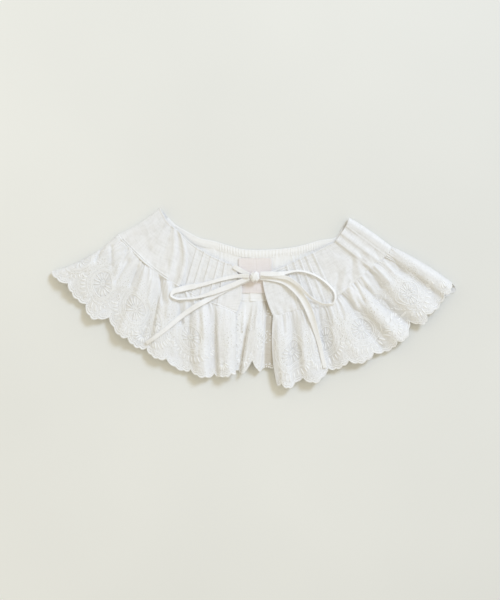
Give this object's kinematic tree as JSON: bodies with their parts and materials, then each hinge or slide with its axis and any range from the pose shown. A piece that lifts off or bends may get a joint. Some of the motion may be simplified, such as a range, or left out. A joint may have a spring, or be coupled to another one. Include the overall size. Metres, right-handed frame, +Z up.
{
  "type": "detachable collar",
  "caption": "White cotton detachable collar, folded flat at the shoulders: pintucked yoke, gathered scalloped eyelet ruffle and a tie bow at the front neck.",
  "frame": {"origin": "on the plane the collar lies on, at the middle of its width and depth", "axes": "+X to the right of the picture along the collar's width, +Y up the picture towards the neck, +Z up off the plane towards the viewer"},
  "size_m": [0.4228, 0.1889, 0.0138],
  "materials": {
    "yoke_front_left": "plain cotton lawn",
    "yoke_front_right": "plain cotton lawn",
    "yoke_back": "plain cotton lawn",
    "neck_facing_back": "gathered cotton lawn",
    "ruffle_front_left": "embroidered eyelet cotton",
    "ruffle_front_right": "embroidered eyelet cotton",
    "ruffle_back": "embroidered eyelet cotton",
    "label": "woven label, plain",
    "tie_knot": "cotton tie",
    "tie_loop_left": "cotton tie",
    "tie_loop_right": "cotton tie",
    "tie_tail_left": "cotton tie",
    "tie_tail_right": "cotton tie",
    "tie_lead_left": "cotton tie"
  },
  "bodies": {
    "root": {"yoke_front_left": "yoke_front_left", "yoke_front_right": "yoke_front_right", "yoke_back": "yoke_back", "neck_facing_back": "neck_facing_back", "ruffle_front_left": "ruffle_front_left", "ruffle_front_right": "ruffle_front_right", "ruffle_back": "ruffle_back", "label": "label", "tie_knot": "tie_knot", "tie_loop_left": "tie_loop_left", "tie_loop_right": "tie_loop_right", "tie_tail_left": "tie_tail_left", "tie_tail_right": "tie_tail_right", "tie_lead_left": "tie_lead_left"}
  },
  "joints": []
}
